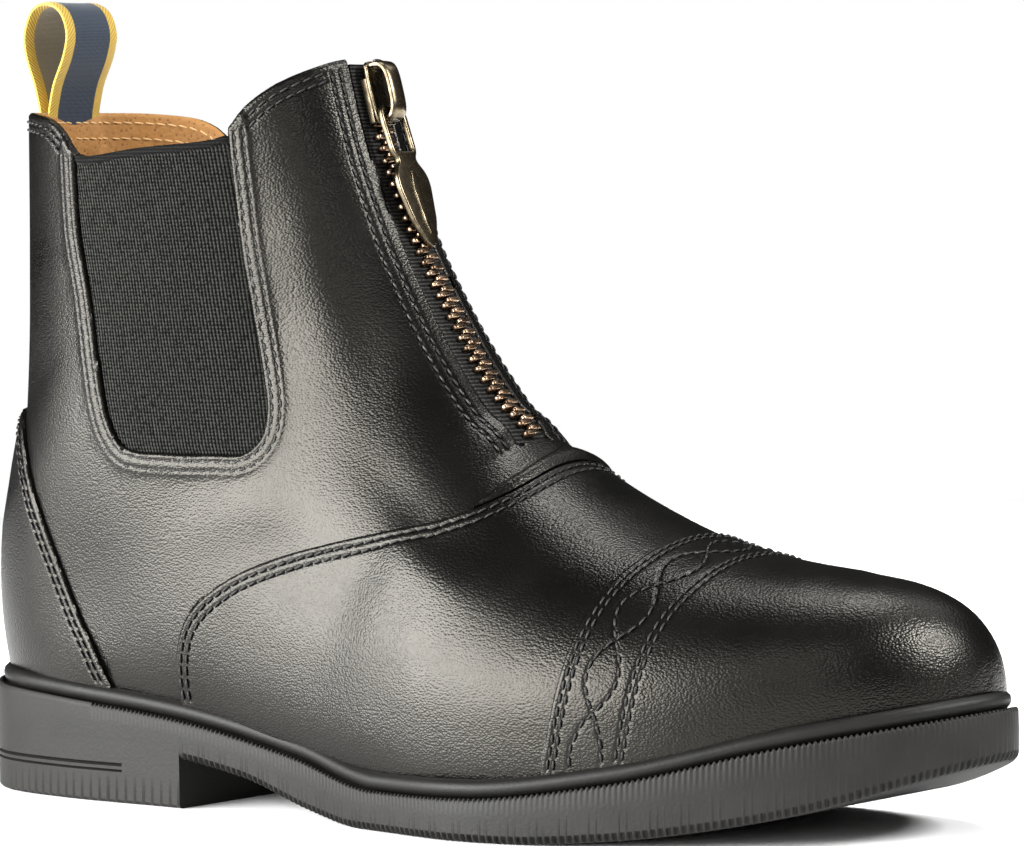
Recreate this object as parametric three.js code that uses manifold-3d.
// Stable boot for the right foot: an ankle-high riding boot with a front zip and two elastic gores.
// Millimetres, +Z up, +X towards the toe, +Y towards the inner side of the foot.
// The boot is drawn with the back of its heel at x = 0, and the group moves it over its own middle.
import * as THREE from "three";
import { mergeVertices } from "three/addons/utils/BufferGeometryUtils.js";
import Module from "manifold-3d";

// Driving sizes of the last and the sole.
const SOLE_LENGTH = 285;
const BALL_WIDTH = 104;
const HEEL_WIDTH = 73;
const HEEL_HEIGHT = 25;
const HEEL_LENGTH = 81.6;
const FOREPART_THICKNESS = 10;
const TOE_SPRING = 18;
const TOE_HEIGHT = 58.7;
const INSTEP_HEIGHT = 90.5;
const COLLAR_HEIGHT = 182;
const SHAFT_WIDTH = 68;

// Driving sizes of the leather and its seams.
const UPPER_WALL = 2.4;
const VAMP_THICKNESS = 1.1;
const CAP_THICKNESS = 1.6;
const COUNTER_THICKNESS = 1.1;
const CRESCENT_THICKNESS = 1.3;
const BACKSTAY_WIDTH = 12;
const CLEARANCE = 0.3;

// Driving sizes of the sole's edge, its bead and its tread.
const WALL_BEVEL = 1.8;
const TREAD_INSET = 2.6;
const BEAD_HEIGHT = 3.8;
const BEAD_INSET = 1.9;
const HEEL_GROOVE_HEIGHT = 9.2;
const HEEL_GROOVE_WIDTH = 0.9;
const HEEL_GROOVE_DEPTH = 0.7;
const HEEL_GROOVE_LENGTH = 62;
const LUG_PITCH = 13;
const LUG_GAP = 3.2;
const LUG_DEPTH = 1.6;
const LUG_RIM = 8;
const INSOLE_THICKNESS = 3;

// Driving sizes of the elastic gores.
const GORE_TOP_WIDTH = 47;
const GORE_DEPTH = 74;
const GORE_THICKNESS = 1.3;
const GORE_SEAT = 0.5;
const GORE_BINDING = 2.2;

// Driving sizes of the zip.
const ZIP_OFFSET = -2;
const ZIP_SLOT = 10;
const ZIP_CHAIN = 6.6;
const ZIP_PITCH = 3.05;
const TAPE_THICKNESS = 0.8;
const TAPE_DROP = 2;
const TOOTH_HEIGHT = 1.8;
const SLIDER_LENGTH = 16;
const SLIDER_WIDTH = 8.6;
const SLIDER_PLATE = 1.1;
const SLIDER_DROP = 12.3;
const WEDGE_LENGTH = 2.4;
const BRIDGE_HEIGHT = 5.4;
const BRIDGE_WIDTH = 5.6;
const BRIDGE_BAR = 1.3;
const BRIDGE_INSET = 0.4;
const PULL_LENGTH = 37;
const PULL_WIDTH = 12.4;
const PULL_THICKNESS = 1.5;
const PULL_TILT = 5;
const PULL_PLAY = 1.2;

// Driving sizes of the pull loop.
const LOOP_WIDTH = 19;
const LOOP_RISE = 29;
const LOOP_DEPTH = 15;
const WEBBING = 1.3;
const LOOP_TAIL = 11;
const LOOP_SEAT = 2.1;

// Fineness of the curved forms.
const RING_POINTS = 24;
const OUTLINE_POINTS = 48;
const HALF_SPAN = 90;
const SEAM_TOLERANCE = 0.04;

const wasm = await Module();
wasm.setup();

// Height of a level: 0 is the floor, 1 the toe box, 2 the instep at the foot of the zip, 3 the collar.
function height(level) {
  const marks = [0, TOE_HEIGHT, INSTEP_HEIGHT, COLLAR_HEIGHT];
  const i = Math.min(2, Math.max(0, Math.floor(level)));
  return marks[i] + (level - i) * (marks[i + 1] - marks[i]);
}

// Value of a smooth curve through evenly spaced values, at a whole or broken row number.
function through(values, u) {
  const last = values.length - 1;
  const i = Math.min(last - 1, Math.max(0, Math.floor(u)));
  const t = u - i;
  const a = values[Math.max(0, i - 1)];
  const b = values[i];
  const c = values[i + 1];
  const d = values[Math.min(last, i + 2)];
  return b + 0.5 * t * (c - a + t * (2 * a - 5 * b + 4 * c - d + t * (3 * (b - c) + d - a)));
}

// Smooth curve through (x, y) rows that never overshoots them.
function profile(rows) {
  const slope = rows.slice(1).map((r, i) => (r[1] - rows[i][1]) / (r[0] - rows[i][0]));
  const tangent = rows.map((r, i) => {
    if (i === 0 || i === rows.length - 1) return slope[Math.min(i, slope.length - 1)];
    const before = slope[i - 1];
    const after = slope[i];
    return before * after <= 0 ? 0 : (2 * before * after) / (before + after);
  });
  return (x) => {
    const at = THREE.MathUtils.clamp(x, rows[0][0], rows[rows.length - 1][0]);
    let i = rows.findIndex((r, k) => k > 0 && at <= r[0]);
    i = Math.max(1, i);
    const [x0, y0] = rows[i - 1];
    const [x1, y1] = rows[i];
    const w = x1 - x0;
    const t = (at - x0) / w;
    const h = t * t * (3 - 2 * t);
    return y0 + (y1 - y0) * h + w * t * (1 - t) * ((1 - t) * tangent[i - 1] - t * tangent[i]);
  };
}

// Top and bottom of the sole's edge. Each height adds shares of three sizes, by columns:
// x in sole lengths, then shares of the heel height, the forepart thickness and the toe spring.
const soleTopRows = [
  [0.0, 1.09, 0.0, 0.0],
  [0.14, 1.0, 0.0, 0.0],
  [0.28, 0.865, 0.0, 0.0],
  [0.42, 0.4, 0.5, 0.0],
  [0.526, 0.0, 0.95, 0.0],
  [0.632, 0.0, 1.01, 0.0],
  [0.754, 0.0, 1.3, 0.08],
  [0.877, 0.0, 1.6, 0.38],
  [1.0, 0.0, 1.18, 1.0],
];
const soleBottomRows = [
  [0.0, 0.52, 0.0, 0.0],
  [0.25, 0.5, 0.0, 0.0],
  [0.35, 0.36, 0.0, 0.0],
  [0.439, 0.1, 0.0, 0.0],
  [0.505, 0.0, 0.0, 0.0],
  [0.67, 0.0, 0.0, 0.0],
  [0.754, 0.0, 0.0, 0.08],
  [0.877, 0.0, 0.0, 0.38],
  [1.0, 0.0, 0.0, 1.0],
];
function edgeProfile(rows) {
  return profile(
    rows.map(([x, heel, forepart, spring]) => [
      x * SOLE_LENGTH,
      heel * HEEL_HEIGHT + forepart * FOREPART_THICKNESS + spring * TOE_SPRING,
    ]),
  );
}
const soleTop = edgeProfile(soleTopRows);
const soleBottom = edgeProfile(soleBottomRows);

// Plan of the sole's edge, from the back of the heel round to the tip of the toe, by columns:
// x in sole lengths, then the reach to the side as shares of the heel width and the ball width.
const outerEdge = [
  [0.0, 0.0, 0.0],
  [0.014, 0.22, 0.0],
  [0.056, 0.385, 0.0],
  [0.14, 0.478, 0.0],
  [0.263, 0.515, 0.0],
  [0.404, 0.2, 0.254],
  [0.526, 0.0, 0.48],
  [0.625, 0.0, 0.532],
  [0.719, 0.0, 0.488],
  [0.825, 0.0, 0.386],
  [0.919, 0.0, 0.245],
  [0.977, 0.0, 0.075],
  [1.0, 0.0, -0.135],
];
const innerEdge = [
  [0.0, 0.0, 0.0],
  [0.014, 0.22, 0.0],
  [0.056, 0.385, 0.0],
  [0.14, 0.478, 0.0],
  [0.263, 0.5, 0.0],
  [0.404, 0.25, 0.178],
  [0.526, 0.0, 0.37],
  [0.625, 0.0, 0.42],
  [0.719, 0.0, 0.45],
  [0.825, 0.0, 0.433],
  [0.919, 0.0, 0.366],
  [0.975, 0.0, 0.262],
  [1.0, 0.0, 0.135],
];
function edgePoint([x, heel, ball], side) {
  return new THREE.Vector3(x * SOLE_LENGTH, side * (heel * HEEL_WIDTH + ball * BALL_WIDTH), 0);
}
const planCurve = new THREE.CatmullRomCurve3(
  [
    ...outerEdge.map((row) => edgePoint(row, -1)),
    ...innerEdge.slice(1, -1).reverse().map((row) => edgePoint(row, 1)),
  ],
  true,
  "centripetal",
);

// Plan points of the sole's edge moved inwards, the outer side first.
function outline(inset) {
  const points = [];
  for (let i = 0; i < OUTLINE_POINTS; i++) {
    const t = i / OUTLINE_POINTS;
    const tangent = planCurve.getTangent(t);
    points.push(planCurve.getPoint(t).add(new THREE.Vector3(-tangent.y, tangent.x, 0).multiplyScalar(inset)));
  }
  return points;
}

// Solid between rings of the sole's edge, each with an inset and a height that may follow x.
function edgeStack(rings) {
  const position = [];
  for (const [inset, z] of rings) {
    for (const p of outline(inset)) position.push(p.x, p.y, typeof z === "function" ? z(p.x) : z);
  }
  const n = OUTLINE_POINTS;
  const index = [];
  for (let r = 0; r < rings.length - 1; r++) {
    for (let i = 0; i < n; i++) {
      const a = r * n + i;
      const b = r * n + ((i + 1) % n);
      index.push(a, b, b + n, a, b + n, a + n);
    }
  }
  for (const [start, up] of [
    [0, false],
    [(rings.length - 1) * n, true],
  ]) {
    for (let i = 0; i < n / 2; i++) {
      const a = start + i;
      const b = start + i + 1;
      const c = start + ((n - i - 1) % n);
      const d = start + ((n - i) % n);
      const faces = [];
      if (b !== c) faces.push([a, b, c]);
      if (a !== d) faces.push([a, c, d]);
      for (const [p, q, s] of faces) index.push(...(up ? [p, q, s] : [p, s, q]));
    }
  }
  const geometry = new THREE.BufferGeometry();
  geometry.setAttribute("position", new THREE.Float32BufferAttribute(position, 3));
  geometry.setIndex(index);
  return solid(geometry);
}

// Closed geometry as a solid that can be joined and cut.
function solid(geometry) {
  const bare = geometry.clone();
  bare.deleteAttribute("normal");
  bare.deleteAttribute("uv");
  const merged = mergeVertices(bare, 1e-4);
  return new wasm.Manifold(
    new wasm.Mesh({
      numProp: 3,
      vertProperties: merged.attributes.position.array,
      triVerts: new Uint32Array(merged.index.array),
    }),
  );
}

// Solid with a side-view outline of (x, z) points, from y0 to y1.
function prism(points, y0, y1) {
  const shape = new THREE.Shape(points.map(([x, z]) => new THREE.Vector2(x, z)));
  const geometry = new THREE.ExtrudeGeometry(shape, { depth: y1 - y0, bevelEnabled: false });
  geometry.rotateX(Math.PI / 2);
  geometry.translate(0, y1, 0);
  return solid(geometry);
}

// Box between two corners.
function block(x0, x1, y0, y1, z0, z1) {
  const geometry = new THREE.BoxGeometry(x1 - x0, y1 - y0, z1 - z0);
  geometry.translate((x0 + x1) / 2, (y0 + y1) / 2, (z0 + z1) / 2);
  return solid(geometry);
}

// Smooth line of side-view points through a few chosen ones.
function smoothLine(points, steps) {
  const curve = new THREE.CatmullRomCurve3(
    points.map(([x, z]) => new THREE.Vector3(x, 0, z)),
    false,
    "centripetal",
  );
  return curve.getPoints(steps).map((p) => [p.x, p.z]);
}

const boot = new THREE.Group();
const leather = { color: 0x1a1918, roughness: 0.42, metalness: 0 };
const rubber = { color: 0x2b2a28, roughness: 0.7, metalness: 0 };
const elastic = { color: 0x141414, roughness: 0.9, metalness: 0 };
const lining = { color: 0xc78b45, roughness: 0.75, metalness: 0 };
const brass = { color: 0x7a6a45, roughness: 0.38, metalness: 1 };
const tapeCloth = { color: 0x111111, roughness: 0.95, metalness: 0 };
const webbing = { color: 0x22303f, roughness: 0.9, metalness: 0 };

function add(name, made, look) {
  const cut = made.simplify(SEAM_TOLERANCE).getMesh();
  const position = new Float32Array(cut.numVert * 3);
  for (let i = 0; i < cut.numVert; i++) {
    position.set(cut.vertProperties.subarray(i * cut.numProp, i * cut.numProp + 3), i * 3);
  }
  const geometry = new THREE.BufferGeometry();
  geometry.setAttribute("position", new THREE.BufferAttribute(position, 3));
  geometry.setIndex(new THREE.BufferAttribute(cut.triVerts, 1));
  geometry.computeVertexNormals();
  const mesh = new THREE.Mesh(geometry, new THREE.MeshStandardMaterial(look));
  mesh.name = name;
  boot.add(mesh);
}

// Sections of the upper's outer form. They fan from upright across the toe to level across the shaft.
// Each runs from a foot, which is below the sole's top or on the back, to a crest on the ridge or front.
// Columns: crest x in sole lengths, crest level, foot x in sole lengths, foot level,
// shares of the ball, heel and shaft widths that add up to the section's width,
// outer and inner side as shares of that width, share of the rise at the widest place,
// squareness below it, squareness above it, sideways shift of foot and crest in widths.
const sections = [
  [0.9768, 0.579, 0.9768, 0.409, 1, 0, 0, 0.019, 0.019, 0.5, 2.2, 2.2, 0.13, 0.13],
  [0.9726, 0.698, 0.9747, 0.358, 1, 0, 0, 0.072, 0.072, 0.5, 2.4, 2.3, 0.125, 0.125],
  [0.9614, 0.806, 0.967, 0.298, 1, 0, 0, 0.13, 0.125, 0.5, 2.6, 2.2, 0.115, 0.115],
  [0.9421, 0.894, 0.9495, 0.239, 1, 0, 0, 0.188, 0.178, 0.5, 2.8, 2.2, 0.099, 0.096],
  [0.9123, 0.957, 0.9175, 0.17, 1, 0, 0, 0.25, 0.236, 0.5, 2.9, 2.2, 0.077, 0.067],
  [0.8649, 1.0, 0.8667, 0.094, 1, 0, 0, 0.317, 0.298, 0.48, 3.0, 2.2, 0.048, 0.038],
  [0.8, 1.082, 0.8, 0.009, 1, 0, 0, 0.385, 0.356, 0.46, 3.0, 2.2, 0.024, 0.014],
  [0.7281, 1.252, 0.7228, -0.06, 1, 0, 0, 0.44, 0.394, 0.44, 3.3, 2.1, 0.005, 0.005],
  [0.6684, 1.491, 0.6491, -0.085, 1, 0, 0, 0.468, 0.389, 0.4, 3.3, 2.0, -0.005, 0],
  [0.6193, 1.742, 0.5719, -0.085, 1, 0, 0, 0.459, 0.37, 0.37, 3.1, 2.0, -0.01, -0.005],
  [0.5807, 2.0, 0.4842, -0.06, 1, 0, 0, 0.43, 0.356, 0.36, 2.7, 2.0, -0.01, -0.01],
  [0.5509, 2.087, 0.386, 0.0, 0.5, 0.5, 0, 0.4579, 0.4126, 0.36, 2.5, 2.0, -0.0054, -0.0169],
  [0.5246, 2.183, 0.2807, 0.051, 0, 1, 0, 0.5207, 0.4928, 0.37, 2.3, 2.1, 0, -0.0205],
  [0.5011, 2.29, 0.1684, 0.051, 0, 1, 0, 0.5002, 0.4862, 0.4, 2.25, 2.1, 0, -0.0205],
  [0.4782, 2.399, 0.07, 0.085, 0, 1, 0, 0.4862, 0.4797, 0.44, 2.3, 2.2, 0, -0.0205],
  [0.4582, 2.508, 0.0255, 0.3, 0, 1, 0, 0.4797, 0.4797, 0.48, 2.25, 2.2, 0, -0.0205],
  [0.4407, 2.617, 0.0068, 0.767, 0, 1, 0, 0.4723, 0.4723, 0.5, 2.3, 2.3, 0, -0.0205],
  [0.4281, 2.71, 0.0172, 1.418, 0, 0, 1, 0.5, 0.5, 0.5, 2.2, 2.3, 0, -0.022],
  [0.4175, 2.809, 0.0365, 2.082, 0, 0, 1, 0.493, 0.493, 0.5, 2.2, 2.3, 0, -0.022],
  [0.4081, 2.913, 0.042, 2.432, 0, 0, 1, 0.493, 0.493, 0.5, 2.2, 2.3, 0, -0.022],
  [0.3993, 3.033, 0.0455, 2.792, 0, 0, 1, 0.5, 0.5, 0.5, 2.2, 2.3, 0, -0.022],
  [0.3923, 3.153, 0.0475, 3.033, 0, 0, 1, 0.507, 0.507, 0.5, 2.2, 2.3, 0, -0.022],
];
const column = sections[0].map((_, c) => sections.map((row) => row[c]));
const LAST_SECTION = sections.length - 1;
const SHAFT_SECTION = 16;

// Point of the outer form: u counts sections from the toe, v goes round from the foot over the crest.
function formPoint(u, v) {
  const at = (c) => through(column[c], u);
  const width = at(4) * BALL_WIDTH + at(5) * HEEL_WIDTH + at(6) * SHAFT_WIDTH;
  const crest = new THREE.Vector3(at(0) * SOLE_LENGTH, at(13) * width, height(at(1)));
  const foot = new THREE.Vector3(at(2) * SOLE_LENGTH, at(12) * width, height(at(3)));
  const cos = Math.cos(2 * Math.PI * v);
  const sin = Math.sin(2 * Math.PI * v);
  const widest = at(9);
  const squareness = cos > 0 ? at(10) : at(11);
  const along = Math.abs(cos) ** (2 / squareness);
  const rise = cos > 0 ? widest * (1 - along) : widest + (1 - widest) * along;
  const reach = Math.abs(sin) ** (2 / squareness) * width * (sin >= 0 ? -at(7) : at(8));
  const point = foot.lerp(crest, rise);
  point.y += reach;
  return point;
}

// Same point moved out along the form's normal.
function offsetPoint(u, v, out) {
  const step = 0.02;
  const u0 = Math.max(0, u - step);
  const u1 = Math.min(LAST_SECTION, u + step);
  const alongU = formPoint(u1, v).sub(formPoint(u0, v));
  const alongV = formPoint(u, v + step / 4).sub(formPoint(u, v - step / 4));
  const normal = alongV.cross(alongU).normalize();
  return formPoint(u, v).addScaledVector(normal, out);
}

// Closed solid through rings of points, with a fan over each end.
function ringSolid(rings) {
  const n = rings[0].length;
  const last = rings.length - 1;
  const points = rings.flat();
  const index = [];
  for (let r = 0; r < last; r++) {
    for (let i = 0; i < n; i++) {
      const a = r * n + i;
      const b = r * n + ((i + 1) % n);
      index.push(a, b, b + n, a, b + n, a + n);
    }
  }
  for (const [ring, first] of [
    [0, true],
    [last, false],
  ]) {
    const middle = new THREE.Vector3();
    for (const point of rings[ring]) middle.addScaledVector(point, 1 / n);
    const centre = points.push(middle) - 1;
    for (let i = 0; i < n; i++) {
      const a = ring * n + i;
      const b = ring * n + ((i + 1) % n);
      index.push(...(first ? [b, a, centre] : [a, b, centre]));
    }
  }
  const geometry = new THREE.BufferGeometry().setFromPoints(points);
  geometry.setIndex(index);
  return solid(geometry);
}

// Closed solid of the form, grown or shrunk by an offset.
function formSolid(out) {
  const rings = [];
  for (let u = 0; u <= LAST_SECTION; u += u < SHAFT_SECTION ? 0.5 : 1) {
    rings.push(Array.from({ length: RING_POINTS }, (_, i) => offsetPoint(u, (i + 0.5) / RING_POINTS, out)));
  }
  return ringSolid(rings);
}

const outerForm = formSolid(0);
const innerForm = formSolid(-UPPER_WALL);

// Everything below the top of the sole's edge, raised by a little.
const FAR = 2 * SOLE_LENGTH;
const PROFILE_STEPS = 36;
function belowSole(rise) {
  const points = [];
  for (let i = 0; i <= PROFILE_STEPS; i++) {
    const x = (i / PROFILE_STEPS) * SOLE_LENGTH;
    points.push([x, soleTop(x) + rise]);
  }
  const heelSide = [[-FAR, -FAR], [-FAR, points[0][1]]];
  const toeSide = [[FAR, points[PROFILE_STEPS][1]], [FAR, -FAR]];
  return prism([...heelSide, ...points, ...toeSide], -HALF_SPAN, HALF_SPAN);
}

// Outsole: one moulded unit with the forepart, the arch and the heel block, cut away underneath by
// grooves that leave lugs inside a plain rim.
function outsole() {
  const forepart = edgeStack([
    [TREAD_INSET, soleBottom],
    [0.4, (x) => soleBottom(x) + WALL_BEVEL],
    [0, (x) => soleBottom(x) + WALL_BEVEL + 0.5],
    [0, (x) => soleTop(x) + 2],
  ]).intersect(belowSole(0));
  const seatHeight = soleBottom(HEEL_LENGTH / 2) + WALL_BEVEL + 1;
  const heel = edgeStack([
    [0.8, 0],
    [0, 0.8],
    [0, seatHeight],
  ]).intersect(block(-1, HEEL_LENGTH, -HALF_SPAN, HALF_SPAN, -1, seatHeight + 1));
  const grooveRing = edgeStack([
    [-1, HEEL_GROOVE_HEIGHT],
    [-1, HEEL_GROOVE_HEIGHT + HEEL_GROOVE_WIDTH],
  ]).subtract(
    edgeStack([
      [HEEL_GROOVE_DEPTH, HEEL_GROOVE_HEIGHT - 1],
      [HEEL_GROOVE_DEPTH, HEEL_GROOVE_HEIGHT + HEEL_GROOVE_WIDTH + 1],
    ]),
  );
  const groove = grooveRing.intersect(
    block(-2, HEEL_GROOVE_LENGTH, -HALF_SPAN, HALF_SPAN, 0, HEEL_HEIGHT),
  );
  let made = forepart.add(heel).subtract(groove);
  const inner = edgeStack([
    [LUG_RIM, -5],
    [LUG_RIM, HEEL_HEIGHT],
  ]);
  const starts = [];
  for (let x = LUG_PITCH; x < HEEL_LENGTH - LUG_PITCH; x += LUG_PITCH) starts.push([x, 0]);
  for (let x = 0.44 * SOLE_LENGTH; x < 0.93 * SOLE_LENGTH; x += LUG_PITCH) {
    starts.push([x, soleBottom(x)]);
  }
  for (const [x, z] of starts) {
    made = made.subtract(block(x, x + LUG_GAP, -HALF_SPAN, HALF_SPAN, -4, z + LUG_DEPTH).intersect(inner));
  }
  return made;
}
add("outsole", outsole(), rubber);

// Welt bead: a rounded strip that rings the upper on top of the sole's edge.
function welt() {
  const above = (rise) => (x) => soleTop(x) + rise;
  return edgeStack([
    [BEAD_INSET + 1.6, above(-1)],
    [BEAD_INSET + 0.2, above(BEAD_HEIGHT / 3)],
    [BEAD_INSET + 0.2, above((2 * BEAD_HEIGHT) / 3)],
    [BEAD_INSET + 1.3, above(BEAD_HEIGHT)],
  ])
    .subtract(belowSole(CLEARANCE))
    .subtract(formSolid(CLEARANCE));
}
add("welt", welt(), rubber);

// Insole: the board and sock that close the upper underneath.
const footbed = belowSole(CLEARANCE + INSOLE_THICKNESS).subtract(belowSole(CLEARANCE));
add("insole", footbed.intersect(formSolid(-UPPER_WALL - CLEARANCE)), lining);

// Gore: a U of elastic on each side of the ankle. Columns: x from its back edge in top widths,
// drop from its top in depths, then the ways in which the outline grows along x and z.
const goreRows = [
  [-0.01, -0.25, -1, 0],
  [0, 0.03, -1, 0],
  [0.022, 0.26, -1, 0],
  [0.095, 0.454, -1, 0],
  [0.168, 0.689, -1, 0],
  [0.258, 0.893, -1, -0.4],
  [0.353, 0.968, -0.4, -1],
  [0.636, 0.985, 0, -1],
  [0.964, 0.985, 0, -1],
  [1.157, 0.98, 0.3, -1],
  [1.257, 0.923, 1, -0.4],
  [1.272, 0.85, 1, 0],
  [1.232, 0.721, 1, 0],
  [1.157, 0.507, 1, 0],
  [1.087, 0.289, 1, 0],
  [1.013, -0.046, 1, 0],
  [1, -0.25, 1, 0],
];
const GORE_BACK = 0.163 * SOLE_LENGTH;
const GORE_TOP = height(2.75);
function goreArea(grow) {
  const line = goreRows.map(([x, drop, growX, growZ]) => [
    GORE_BACK + x * GORE_TOP_WIDTH + growX * grow,
    GORE_TOP - drop * GORE_DEPTH + growZ * grow,
  ]);
  return prism(smoothLine(line, 32), -HALF_SPAN, HALF_SPAN);
}

// Collar line in side view, from the back over the gore to the zip: x in sole lengths, level.
const collarRows = [
  [-0.1, 2.868],
  [0.045, 2.868],
  [0.09, 2.862],
  [0.13, 2.84],
  [0.152, 2.795],
  [0.163, 2.75],
  [0.24, 2.752],
  [0.325, 2.79],
  [0.332, 2.82],
  [0.342, 2.862],
  [0.362, 2.915],
  [0.388, 2.965],
  [0.408, 3.0],
  [0.45, 3.01],
];
const collarLine = smoothLine(
  collarRows.map(([x, level]) => [x * SOLE_LENGTH, height(level)]),
  40,
);
const collarEnds = [collarLine[0][1], collarLine[collarLine.length - 1][1]];
const aboveCollar = prism(
  [[-FAR, FAR], [-FAR, collarEnds[0]], ...collarLine, [FAR, collarEnds[1]], [FAR, FAR]],
  -HALF_SPAN,
  HALF_SPAN,
);

// Path of the zip up the front of the form, from its foot, with the direction it runs in at each step.
const ZIP_FOOT_SECTION = 10.15;
const ZIP_TOP_SECTION = 19.9;
const zipCurve = new THREE.CatmullRomCurve3(
  Array.from({ length: 14 }, (_, i) => {
    const u = THREE.MathUtils.lerp(ZIP_FOOT_SECTION, ZIP_TOP_SECTION, i / 13);
    return formPoint(u, 0.5).setY(ZIP_OFFSET);
  }),
);
const ZIP_LENGTH = zipCurve.getLength();
const STEPS_ON_ZIP = 12;

// Places a point given along the zip, across it and out from it.
function onZip(along, across, out) {
  const t = THREE.MathUtils.clamp(along / ZIP_LENGTH, 0, 1);
  const up = zipCurve.getTangentAt(t);
  return zipCurve
    .getPointAt(t)
    .addScaledVector(up, along - t * ZIP_LENGTH)
    .add(new THREE.Vector3(up.z * out, across, -up.x * out));
}

// Bar that follows the zip, between two lengths along it, two across it and two out from it.
function zipBar(from, to, left, right, low, high, steps) {
  const rings = [];
  for (let i = 0; i <= steps; i++) {
    const along = THREE.MathUtils.lerp(from, to, i / steps);
    rings.push([
      onZip(along, left, low),
      onZip(along, left, high),
      onZip(along, right, high),
      onZip(along, right, low),
    ]);
  }
  return ringSolid(rings);
}

// Upper: one hollow leather wall, open at the collar, underneath, at both gores and along the zip.
const halfSlot = ZIP_SLOT / 2;
const SLOT_REACH = 4 * UPPER_WALL;
const slotEnd = ZIP_LENGTH + 2 * SLOT_REACH;
const zipSlot = zipBar(0, slotEnd, -halfSlot, halfSlot, -SLOT_REACH, SLOT_REACH, STEPS_ON_ZIP);
const upper = outerForm
  .subtract(innerForm)
  .subtract(belowSole(CLEARANCE))
  .subtract(aboveCollar)
  .subtract(goreArea(0))
  .subtract(zipSlot);
add("upper", upper, leather);

// Gores: woven elastic set into the openings, with a bound top edge.
for (const [name, side] of [
  ["gore_outer", -1],
  ["gore_inner", 1],
]) {
  const half = block(0, SOLE_LENGTH, Math.min(0, side * HALF_SPAN), Math.max(0, side * HALF_SPAN), 0, FAR);
  const cut = goreArea(-CLEARANCE).intersect(half).subtract(aboveCollar);
  const cloth = formSolid(-GORE_SEAT).subtract(formSolid(-GORE_SEAT - GORE_THICKNESS));
  const hem = formSolid(-0.1).subtract(formSolid(-GORE_SEAT - GORE_THICKNESS - 0.3));
  const hemArea = cut.intersect(aboveCollar.translate([0, 0, -GORE_BINDING]));
  add(name, cloth.intersect(cut).add(hem.intersect(hemArea)), elastic);
}

// Seam lines of the overlays in side view: x in sole lengths, level.
function seam(rows, steps) {
  return smoothLine(
    rows.map(([x, level]) => [x * SOLE_LENGTH, height(level)]),
    steps,
  );
}
const capSeam = [
  [0.69, -0.3],
  [0.692, 0.25],
  [0.702, 0.47],
  [0.709, 0.66],
  [0.716, 0.86],
  [0.723, 0.99],
  [0.729, 1.15],
  [0.732, 1.4],
];
const vampSeam = [
  [0.284, 0.2],
  [0.284, 0.64],
  [0.301, 0.82],
  [0.338, 0.945],
  [0.391, 1.09],
  [0.457, 1.23],
  [0.52, 1.361],
  [0.562, 1.468],
  [0.585, 1.56],
  [0.6, 1.66],
  [0.612, 1.84],
  [0.62, 2.05],
];
const counterSeam = [
  [0.0, 2.05],
  [0.055, 2.05],
  [0.073, 2.02],
  [0.108, 1.494],
  [0.133, 1.05],
  [0.158, 0.794],
  [0.183, 0.622],
  [0.215, 0.3],
];
const crescentSeam = [
  [0.594, 1.655],
  [0.596, 1.76],
  [0.594, 1.87],
  [0.579, 1.985],
  [0.572, 2.1],
];
const moved = (line, dx, dz) => line.map(([x, z]) => [x + dx, z + dz]);
const beadTop = belowSole(BEAD_HEIGHT + 2 * CLEARANCE);
function overlay(thickness, area) {
  const sheet = formSolid(CLEARANCE + thickness).subtract(formSolid(CLEARANCE));
  return sheet.intersect(area).subtract(beadTop);
}

// Toe cap: over the front of the vamp.
const capLine = seam(capSeam, 14);
const capArea = prism(
  [...capLine, [FAR, capLine[14][1]], [FAR, capLine[0][1]]],
  -HALF_SPAN,
  HALF_SPAN,
);
add("toe_cap", overlay(CAP_THICKNESS, capArea), leather);

// Vamp: laid over the front of the quarters and reaching back along both sides.
const vampLine = seam(vampSeam, 22);
const vampArea = prism(
  [...vampLine, ...moved(capLine, -CLEARANCE, 0).reverse()],
  -HALF_SPAN,
  HALF_SPAN,
);
add("vamp", overlay(VAMP_THICKNESS, vampArea), leather);

// Crescent: a small piece across the ridge that closes the foot of the zip.
const crescentLine = seam(crescentSeam, 8);
const crescentArea = prism(
  [...crescentLine, [capLine[0][0], crescentLine[8][1]], [capLine[0][0], TOE_HEIGHT]],
  -HALF_SPAN,
  HALF_SPAN,
).subtract(vampArea.translate([-CLEARANCE, 0, CLEARANCE]));
add("crescent", overlay(CRESCENT_THICKNESS, crescentArea), leather);

// Counter and backstay: round the heel, with a narrow strip up the back seam.
const counterLine = seam(counterSeam, 18);
const counterArea = prism(
  [...counterLine, [counterLine[18][0], -FAR], [-FAR, -FAR], [-FAR, counterLine[0][1]]],
  -HALF_SPAN,
  HALF_SPAN,
);
const backstayArea = block(
  -FAR,
  HEEL_LENGTH / 2,
  -BACKSTAY_WIDTH / 2,
  BACKSTAY_WIDTH / 2,
  INSTEP_HEIGHT / 2,
  COLLAR_HEIGHT,
);
add("counter", overlay(COUNTER_THICKNESS, counterArea.add(backstayArea)).subtract(aboveCollar), leather);

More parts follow.
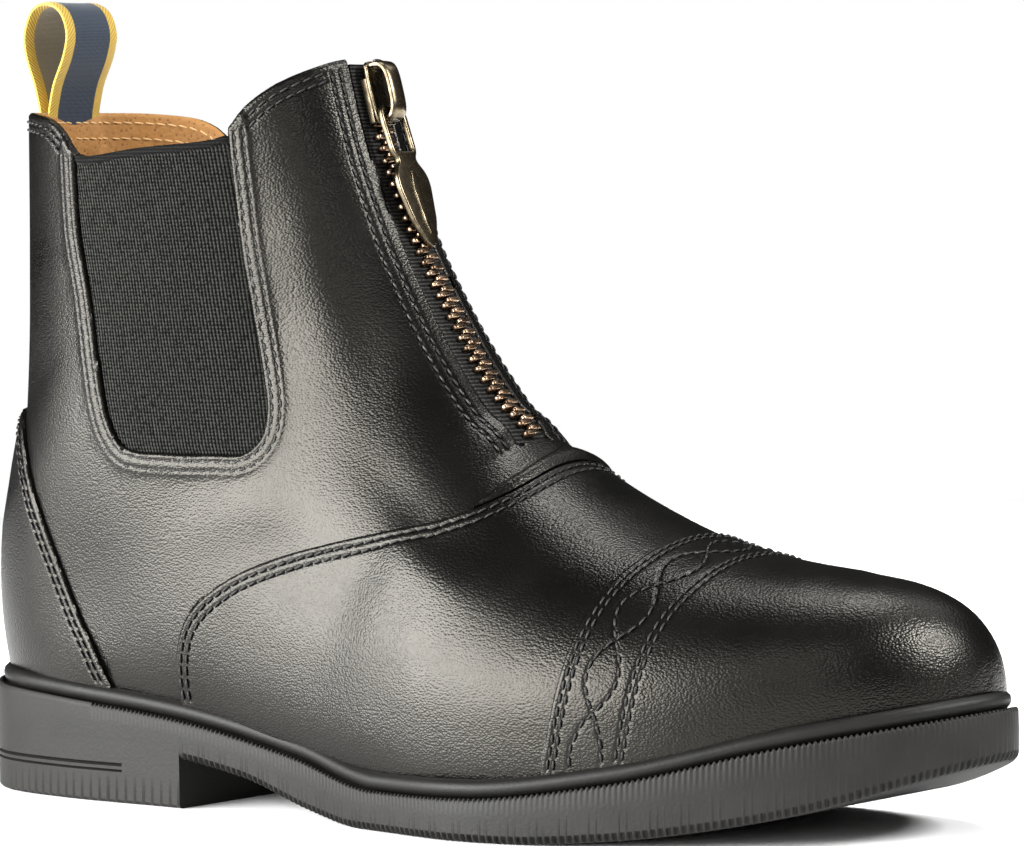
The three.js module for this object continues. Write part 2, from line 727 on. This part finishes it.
// Zip tapes: two strips of cloth inside the slot, one for each row of teeth.
const TAPE_TOP = -1;
const TEETH_LOW = TAPE_TOP + CLEARANCE;
const TEETH_HIGH = TEETH_LOW + TOOTH_HEIGHT;
const TAPE_INNER = 1.3;
const SLIDER_MIDDLE = ZIP_LENGTH - SLIDER_DROP;
for (const [name, side] of [
  ["zip_tape_outer", -1],
  ["zip_tape_inner", 1],
]) {
  const sides = [side * TAPE_INNER, side * (halfSlot - CLEARANCE)].sort((a, b) => a - b);
  const tape = zipBar(
    2 * CLEARANCE,
    ZIP_LENGTH - TAPE_DROP,
    ...sides,
    TAPE_TOP - TAPE_THICKNESS,
    TAPE_TOP,
    STEPS_ON_ZIP,
  );
  add(name, tape, tapeCloth);
}

// Zip teeth: two combs of brass whose teeth stand between each other.
const TOOTH_REACH = 0.8;
const TOOTH_LENGTH = ZIP_PITCH / 2 - CLEARANCE;
const TEETH_START = 1.4;
const chainEnd = SLIDER_MIDDLE + SLIDER_LENGTH / 2 - WEDGE_LENGTH - TEETH_START;
const TEETH = Math.floor(chainEnd / ZIP_PITCH);
for (const [name, side] of [
  ["zip_teeth_outer", -1],
  ["zip_teeth_inner", 1],
]) {
  const start = TEETH_START + (side > 0 ? ZIP_PITCH / 2 : 0);
  const end = start + (TEETH - 1) * ZIP_PITCH + TOOTH_LENGTH;
  const spine = [side * (TOOTH_REACH + CLEARANCE), side * (ZIP_CHAIN / 2)].sort((a, b) => a - b);
  const reach = [-side * TOOTH_REACH, side * (ZIP_CHAIN / 2 - CLEARANCE)].sort((a, b) => a - b);
  let comb = zipBar(start, end, ...spine, TEETH_LOW, TEETH_HIGH - 0.2, STEPS_ON_ZIP);
  for (let i = 0; i < TEETH; i++) {
    const low = start + i * ZIP_PITCH;
    comb = comb.add(zipBar(low, low + TOOTH_LENGTH, ...reach, TEETH_LOW + 0.1, TEETH_HIGH, 1));
  }
  add(name, comb, brass);
}

// Frame of the slider: across the zip, up along it and out from it, at the slider's middle.
const sliderUp = zipCurve.getTangentAt(SLIDER_MIDDLE / ZIP_LENGTH);
const sliderFrame = new THREE.Matrix4()
  .makeBasis(new THREE.Vector3(0, 1, 0), sliderUp, new THREE.Vector3(sliderUp.z, 0, -sliderUp.x))
  .setPosition(onZip(SLIDER_MIDDLE, 0, 0));
const acrossFirst = new THREE.Matrix4().makeBasis(
  new THREE.Vector3(0, 1, 0),
  new THREE.Vector3(0, 0, 1),
  new THREE.Vector3(1, 0, 0),
);

// Box on the slider, from its lengths along the zip, across it and out from it.
function sliderBox(a0, a1, c0, c1, o0, o1) {
  const geometry = new THREE.BoxGeometry(c1 - c0, a1 - a0, o1 - o0);
  geometry.translate((c0 + c1) / 2, (a0 + a1) / 2, (o0 + o1) / 2);
  return solid(geometry.applyMatrix4(sliderFrame));
}

// Outline drawn along the zip and out from it, made thick across the zip.
function sliderPlate(points, width) {
  const shape = new THREE.Shape(points.map(([along, out]) => new THREE.Vector2(along, out)));
  const geometry = new THREE.ExtrudeGeometry(shape, { depth: width, bevelEnabled: false });
  geometry.translate(0, 0, -width / 2).applyMatrix4(acrossFirst);
  return solid(geometry.applyMatrix4(sliderFrame));
}

// Zip slider: two plates round the chain, joined by a wedge at the top, with a bridge for the pull.
const PLATE_LOW = TEETH_HIGH + CLEARANCE;
const PLATE_HIGH = PLATE_LOW + SLIDER_PLATE;
const UNDER_HIGH = TAPE_TOP - TAPE_THICKNESS - CLEARANCE;
const UNDER_LOW = UNDER_HIGH - SLIDER_PLATE;
const halfSlider = SLIDER_LENGTH / 2;
const halfPlate = SLIDER_WIDTH / 2;
const WEDGE = TAPE_INNER - CLEARANCE;
function arch(radiusAlong, rise, steps) {
  return Array.from({ length: steps + 1 }, (_, i) => {
    const angle = (Math.PI * i) / steps;
    return [radiusAlong * Math.cos(angle), PLATE_HIGH - 0.2 + rise * Math.sin(angle) ** 0.6];
  });
}
const bridgeOuter = arch(halfSlider - BRIDGE_INSET, BRIDGE_HEIGHT, 8);
const bridgeInner = arch(halfSlider - BRIDGE_INSET - BRIDGE_BAR, BRIDGE_HEIGHT - BRIDGE_BAR, 8);
const bridge = sliderPlate([...bridgeOuter, ...bridgeInner.reverse()], BRIDGE_WIDTH);
let slider = sliderBox(-halfSlider, halfSlider, -halfPlate, halfPlate, PLATE_LOW, PLATE_HIGH)
  .add(sliderBox(-halfSlider, halfSlider, -halfPlate, halfPlate, UNDER_LOW, UNDER_HIGH))
  .add(sliderBox(halfSlider - WEDGE_LENGTH, halfSlider, -WEDGE, WEDGE, UNDER_LOW + 0.2, PLATE_HIGH - 0.2))
  .add(bridge);
for (const side of [-1, 1]) {
  const inner = side * (ZIP_CHAIN / 2 + CLEARANCE);
  const outer = side * halfPlate;
  slider = slider.add(
    sliderBox(-halfSlider, halfSlider, Math.min(inner, outer), Math.max(inner, outer), 0, PLATE_LOW + 0.2),
  );
}
add("zip_slider", slider, brass);

// Pull tab: an eye round the slider's bridge and a plain tapered plate, hanging against the zip.
const PULL_AXIS_ALONG = BRIDGE_INSET + BRIDGE_BAR + PULL_THICKNESS / 2 + PULL_PLAY - halfSlider;
const PULL_AXIS_OUT = PLATE_HIGH + PULL_THICKNESS / 2 + PULL_PLAY / 2;
const pullFrame = sliderFrame
  .clone()
  .multiply(new THREE.Matrix4().makeTranslation(0, PULL_AXIS_ALONG, PULL_AXIS_OUT))
  .multiply(new THREE.Matrix4().makeRotationX(-THREE.MathUtils.degToRad(PULL_TILT)));
const halfPull = PULL_WIDTH / 2;
const eyeHalf = BRIDGE_WIDTH / 2 + 2 * CLEARANCE;
const barHalf = PULL_THICKNESS / 2;
const pullSide = [
  [halfPull * 0.66, barHalf],
  [halfPull * 0.78, -2],
  [halfPull * 0.74, -0.31 * PULL_LENGTH],
  [halfPull * 0.5, -0.36 * PULL_LENGTH],
  [halfPull * 0.94, -0.46 * PULL_LENGTH],
  [halfPull, -0.54 * PULL_LENGTH],
  [halfPull * 0.72, -0.78 * PULL_LENGTH],
  [halfPull * 0.32, -0.93 * PULL_LENGTH],
  [0, -PULL_LENGTH + barHalf],
];
const otherSide = pullSide.slice(0, -1).reverse().map(([across, along]) => [-across, along]);
const eyeFoot = -0.3 * PULL_LENGTH;
const eye = [
  [eyeHalf, -barHalf],
  [-eyeHalf, -barHalf],
  [-eyeHalf, eyeFoot],
  [eyeHalf, eyeFoot],
];
const pullShape = new THREE.Shape([...pullSide, ...otherSide].map((p) => new THREE.Vector2(...p)));
pullShape.holes.push(new THREE.Path(eye.map((p) => new THREE.Vector2(...p))));
const pullGeometry = new THREE.ExtrudeGeometry(pullShape, { depth: PULL_THICKNESS, bevelEnabled: false });
pullGeometry.translate(0, 0, -PULL_THICKNESS / 2).applyMatrix4(pullFrame);
add("zip_pull", solid(pullGeometry), brass);

// Pull loop: a strip of webbing folded to a teardrop, its two ends sewn together inside the back.
// Columns: reach forward of the sewn ends in loop depths, rise above the collar in loop rises.
const loopRows = [
  [-0.087, 0.09],
  [-0.2, 0.3],
  [-0.4, 0.58],
  [-0.42, 0.76],
  [-0.22, 0.955],
  [0.08, 1.0],
  [0.38, 0.93],
  [0.53, 0.75],
  [0.45, 0.56],
  [0.2, 0.3],
  [0.087, 0.09],
];
const LOOP_X = formPoint(20, 0).x + UPPER_WALL + WEBBING + LOOP_SEAT;
const LOOP_Z = height(2.868);
const loopMiddle = smoothLine(
  loopRows.map(([x, z]) => [LOOP_X + x * LOOP_DEPTH, LOOP_Z + z * LOOP_RISE - WEBBING / 2]),
  22,
);
function sideStep(line, distance) {
  return line.map(([x, z], i) => {
    const [x0, z0] = line[Math.max(0, i - 1)];
    const [x1, z1] = line[Math.min(line.length - 1, i + 1)];
    const length = Math.hypot(x1 - x0, z1 - z0);
    return [x - ((z1 - z0) / length) * distance, z + ((x1 - x0) / length) * distance];
  });
}
const loopOuter = sideStep(loopMiddle, WEBBING / 2);
const loopInner = sideStep(loopMiddle.slice(1, -1), -WEBBING / 2);
const tailFoot = LOOP_Z - LOOP_TAIL;
const loopTail = [
  [LOOP_X + WEBBING, tailFoot],
  [LOOP_X - WEBBING, tailFoot],
];
const halfLoop = LOOP_WIDTH / 2;
const wallZone = formSolid(CLEARANCE).subtract(formSolid(-UPPER_WALL - CLEARANCE)).subtract(aboveCollar);
const loop = prism([...loopOuter, ...loopTail], -halfLoop, halfLoop)
  .subtract(prism(loopInner, -halfLoop - 1, halfLoop + 1))
  .subtract(wallZone);
add("pull_loop", loop, webbing);

// The boot stands over its own middle.
const planPoints = planCurve.getPoints(400);
const sideMiddle = (Math.min(...planPoints.map((p) => p.y)) + Math.max(...planPoints.map((p) => p.y))) / 2;
boot.position.set(-SOLE_LENGTH / 2, -sideMiddle, 0);

export default boot;
